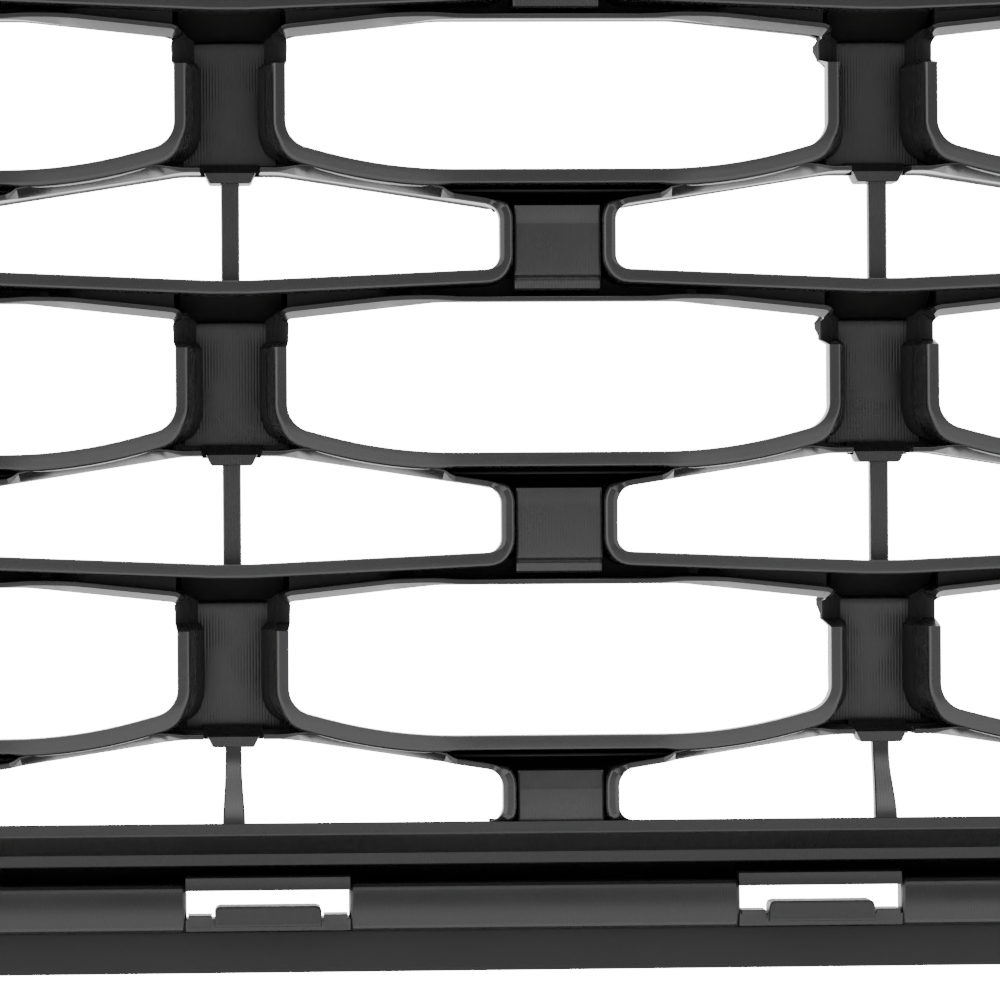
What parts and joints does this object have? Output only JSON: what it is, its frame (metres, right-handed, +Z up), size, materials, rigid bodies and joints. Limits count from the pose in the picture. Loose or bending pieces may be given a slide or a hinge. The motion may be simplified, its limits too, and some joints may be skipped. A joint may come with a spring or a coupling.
{
  "type": "front grille",
  "caption": "Wide black front grille with a lattice of rounded cells, bright edge mouldings, an upper mounting bracket and push-in retainers.",
  "frame": {"origin": "axis of the centre locating hole, at the upper bracket's underside", "axes": "+X to the vehicle's left, +Y to the rear (the hollow side), +Z up; the show side faces -Y"},
  "size_m": [1.192, 0.0755, 0.3167],
  "materials": {
    "moulded_black": "satin, moulded in black",
    "bright_plating": "satin bright plating",
    "bracket_black": "matte, fine grain",
    "black_screw_steel": "black zinc",
    "nylon_black": "semi-gloss",
    "rubber_black": "matte",
    "foam_grey": "open-cell foam",
    "coated_steel": "black electro-coat",
    "zinc_spring_steel": "zinc plated"
  },
  "bodies": {
    "grille": {"grille_insert": "moulded_black", "upper_trim": "bright_plating", "left_side_trim": "bright_plating", "right_side_trim": "bright_plating", "upper_mount_bracket": "bracket_black", "bracket_screws": "black_screw_steel", "trim_screws": "black_screw_steel", "end_bracket_screws": "black_screw_steel", "retainer_sleeves": "nylon_black", "left_bump_stop": "rubber_black", "right_bump_stop": "rubber_black", "top_seal": "foam_grey", "left_end_bracket": "coated_steel", "right_end_bracket": "coated_steel", "push_nuts": "zinc_spring_steel", "left_air_baffle": "rubber_black", "right_air_baffle": "rubber_black", "locating_grommets": "rubber_black", "lower_clip_nuts": "zinc_spring_steel"},
    "retainer_pin_1": {"retainer_pin_1": "nylon_black"},
    "retainer_pin_2": {"retainer_pin_2": "nylon_black"},
    "retainer_pin_3": {"retainer_pin_3": "nylon_black"},
    "retainer_pin_4": {"retainer_pin_4": "nylon_black"}
  },
  "joints": [
    {"name": "retainer_pin_1_lift", "type": "slide", "parent": "grille", "child": "retainer_pin_1", "axis": [0, 0, 1], "range_m": [0, 0.007]},
    {"name": "retainer_pin_2_lift", "type": "slide", "parent": "grille", "child": "retainer_pin_2", "axis": [0, 0, 1], "range_m": [0, 0.007]},
    {"name": "retainer_pin_3_lift", "type": "slide", "parent": "grille", "child": "retainer_pin_3", "axis": [0, 0, 1], "range_m": [0, 0.007]},
    {"name": "retainer_pin_4_lift", "type": "slide", "parent": "grille", "child": "retainer_pin_4", "axis": [0, 0, 1], "range_m": [0, 0.007]}
  ]
}
